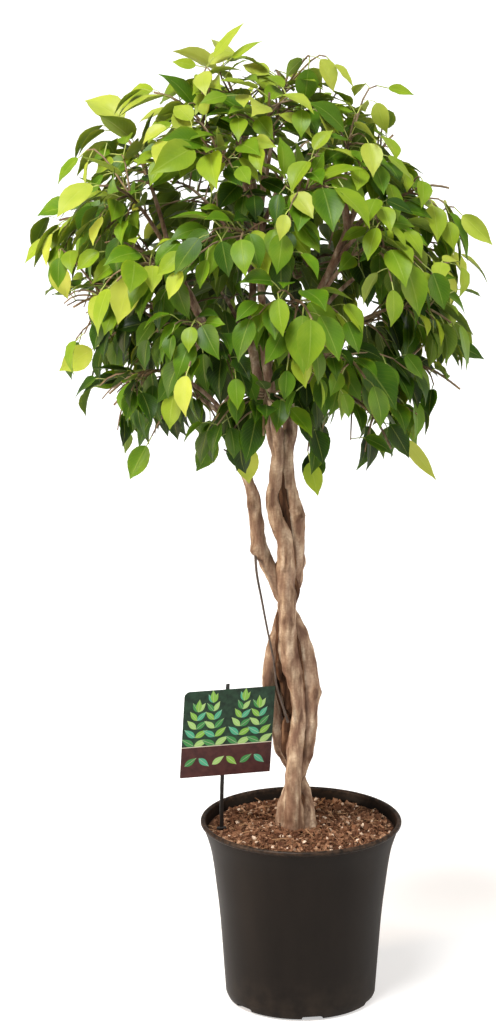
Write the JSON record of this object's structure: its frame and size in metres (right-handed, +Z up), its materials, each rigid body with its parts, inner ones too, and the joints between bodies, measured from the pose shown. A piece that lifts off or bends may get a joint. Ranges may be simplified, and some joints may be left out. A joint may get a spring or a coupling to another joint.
{
  "type": "potted weeping fig",
  "caption": "Round-headed weeping fig tree with plaited stems, in a tapered nursery pot filled with potting mix, with a blank plant label on a stake.",
  "frame": {"origin": "centre of the pot's flat foot, on the surface the plant stands on", "axes": "+Z up the trunk; -Y towards the front, where the label faces; +X to the right seen from the front"},
  "size_m": [0.4657, 0.4425, 1.026],
  "materials": {
    "pot_plastic": "satin",
    "potting_mix": "matte",
    "bark": "matte",
    "leaf": "satin",
    "stake_plastic": "satin",
    "card_print": "satin"
  },
  "bodies": {
    "root": {"aerial_root": "bark", "label_card": "card_print", "label_stake": "stake_plastic", "pot": "pot_plastic", "soil": "potting_mix", "spray_01": "leaf", "spray_02": "leaf", "spray_03": "leaf", "spray_04": "leaf", "spray_05": "leaf", "spray_06": "leaf", "spray_07": "leaf", "spray_08": "leaf", "spray_09": "leaf", "spray_10": "leaf", "spray_11": "leaf", "spray_12": "leaf", "spray_13": "leaf", "spray_14": "leaf", "spray_15": "leaf", "spray_16": "leaf", "spray_17": "leaf", "spray_18": "leaf", "spray_19": "leaf", "spray_20": "leaf", "spray_21": "leaf", "spray_22": "leaf", "spray_23": "leaf", "spray_24": "leaf", "spray_25": "leaf", "spray_26": "leaf", "spray_27": "leaf", "spray_28": "leaf", "spray_29": "leaf", "spray_30": "leaf", "spray_31": "leaf", "spray_32": "leaf", "spray_33": "leaf", "spray_34": "leaf", "spray_35": "leaf", "spray_36": "leaf", "spray_37": "leaf", "spray_38": "leaf", "spray_39": "leaf", "spray_40": "leaf", "stem_back": "bark", "stem_front": "bark", "stem_left": "bark", "stem_right": "bark"}
  },
  "joints": []
}
